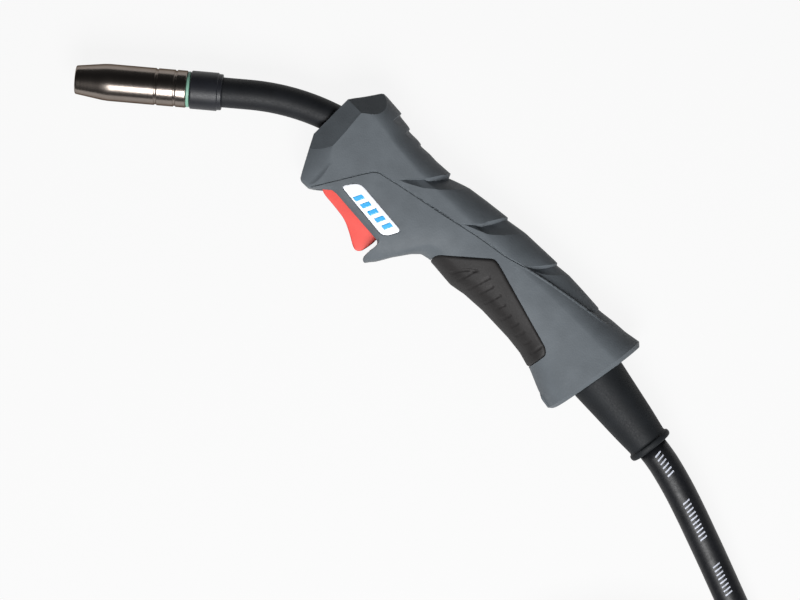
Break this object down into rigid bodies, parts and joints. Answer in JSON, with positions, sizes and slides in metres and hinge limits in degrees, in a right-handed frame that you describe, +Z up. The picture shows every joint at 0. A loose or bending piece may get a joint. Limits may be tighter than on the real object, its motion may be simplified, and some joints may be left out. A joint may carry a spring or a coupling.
{
  "type": "mig welding torch",
  "caption": "Hand-held MIG welding torch with a bent neck, gas nozzle, two-part grip handle with trigger, coiled coaxial cable and central plug.",
  "frame": {"origin": "middle of the base of the torch lying on its right side, measured without the free cable and its plug", "axes": "+X along the handle from the nozzle to the cable, +Y towards the back of the handle, +Z up, towards the torch's left side"},
  "size_m": [0.5524, 0.2942, 0.0395],
  "materials": {
    "nickel": "bright nickel plate with fine brushing",
    "copper": "drawn copper",
    "brass": "turned brass",
    "spring_steel": "drawn wire",
    "steel": "zinc plated",
    "white_plastic": "satin",
    "green_plastic": "satin moulded",
    "black_plastic": "satin moulded",
    "black_rubber": "smooth",
    "grey_plastic": "fine spark-eroded grain",
    "pad_rubber": "soft matt",
    "badge_white": "smooth printed film",
    "trigger_red": "satin moulded",
    "wire_red": "smooth",
    "cable_rubber": "semi-gloss jacket",
    "boot_rubber": "satin",
    "strap": "woven hook-and-loop strap"
  },
  "bodies": {
    "torch_frame": {"contact_tip": "copper", "tip_holder": "brass", "nozzle_spring": "spring_steel", "neck_insulator": "white_plastic", "insulator_ring": "green_plastic", "neck_collar": "black_plastic", "neck_tube": "copper", "neck_sleeve": "black_rubber", "wire_liner": "spring_steel", "handle_left": "grey_plastic", "handle_right": "grey_plastic", "grip_pad": "pad_rubber", "badge": "badge_white", "trigger_pin": "steel", "trigger_spring": "spring_steel", "switch_body": "black_plastic", "switch_terminals": "steel", "control_wires": "wire_red", "shell_screws": "steel", "torch_body": "brass", "neck_nut": "brass", "cable_ferrule": "brass", "cable_end": "cable_rubber", "cable_boot": "boot_rubber", "cable_lead": "cable_rubber", "cable_coil": "cable_rubber", "cable_tail": "cable_rubber", "coil_ties": "strap", "plug_boot": "boot_rubber", "plug_housing": "black_plastic", "plug_screw": "steel", "plug_block": "brass", "plug_face": "black_plastic", "control_spring_1": "spring_steel", "control_spring_2": "spring_steel", "plug_o_ring": "black_rubber", "liner_nut": "brass"},
    "nozzle": {"gas_nozzle": "nickel"},
    "trigger_lever": {"trigger": "trigger_red"},
    "plunger": {"switch_plunger": "white_plastic"},
    "nut": {"plug_nut": "black_plastic"},
    "pin_1": {"control_pin_1": "brass"},
    "pin_2": {"control_pin_2": "brass"}
  },
  "joints": [
    {"name": "trigger_press", "type": "hinge", "parent": "torch_frame", "child": "trigger_lever", "pos_m": [-0.03618, 0.00424, 0.0185], "axis": [0, 0, 1], "range_deg": [0, 7], "stiffness_Nm_per_rad": 1.5, "springref_deg": -4.58, "deforming": ["trigger_spring"]},
    {"name": "plunger_slide", "type": "slide", "parent": "torch_frame", "child": "plunger", "axis": [0, 1, 0], "range_m": [0, 0.00171]},
    {"name": "nozzle_pull", "type": "slide", "parent": "torch_frame", "child": "nozzle", "axis": [-0.766, -0.6428, 0], "range_m": [0, 0.056]},
    {"name": "nut_spin", "type": "hinge", "parent": "torch_frame", "child": "nut", "pos_m": [0.10822, -0.22037, 0.02], "axis": [-1, 0, 0], "continuous": true},
    {"name": "pin_1_press", "type": "slide", "parent": "torch_frame", "child": "pin_1", "axis": [1, 0, 0], "range_m": [0, 0.0035], "stiffness_N_per_m": 300, "springref_m": -0.003, "deforming": ["control_spring_1"]},
    {"name": "pin_2_press", "type": "slide", "parent": "torch_frame", "child": "pin_2", "axis": [1, 0, 0], "range_m": [0, 0.0035], "stiffness_N_per_m": 300, "springref_m": -0.003, "deforming": ["control_spring_2"]}
  ],
  "couplings": [
    {"joint": "plunger_slide", "follows": "trigger_press", "m_per_rad": 0.014}
  ]
}
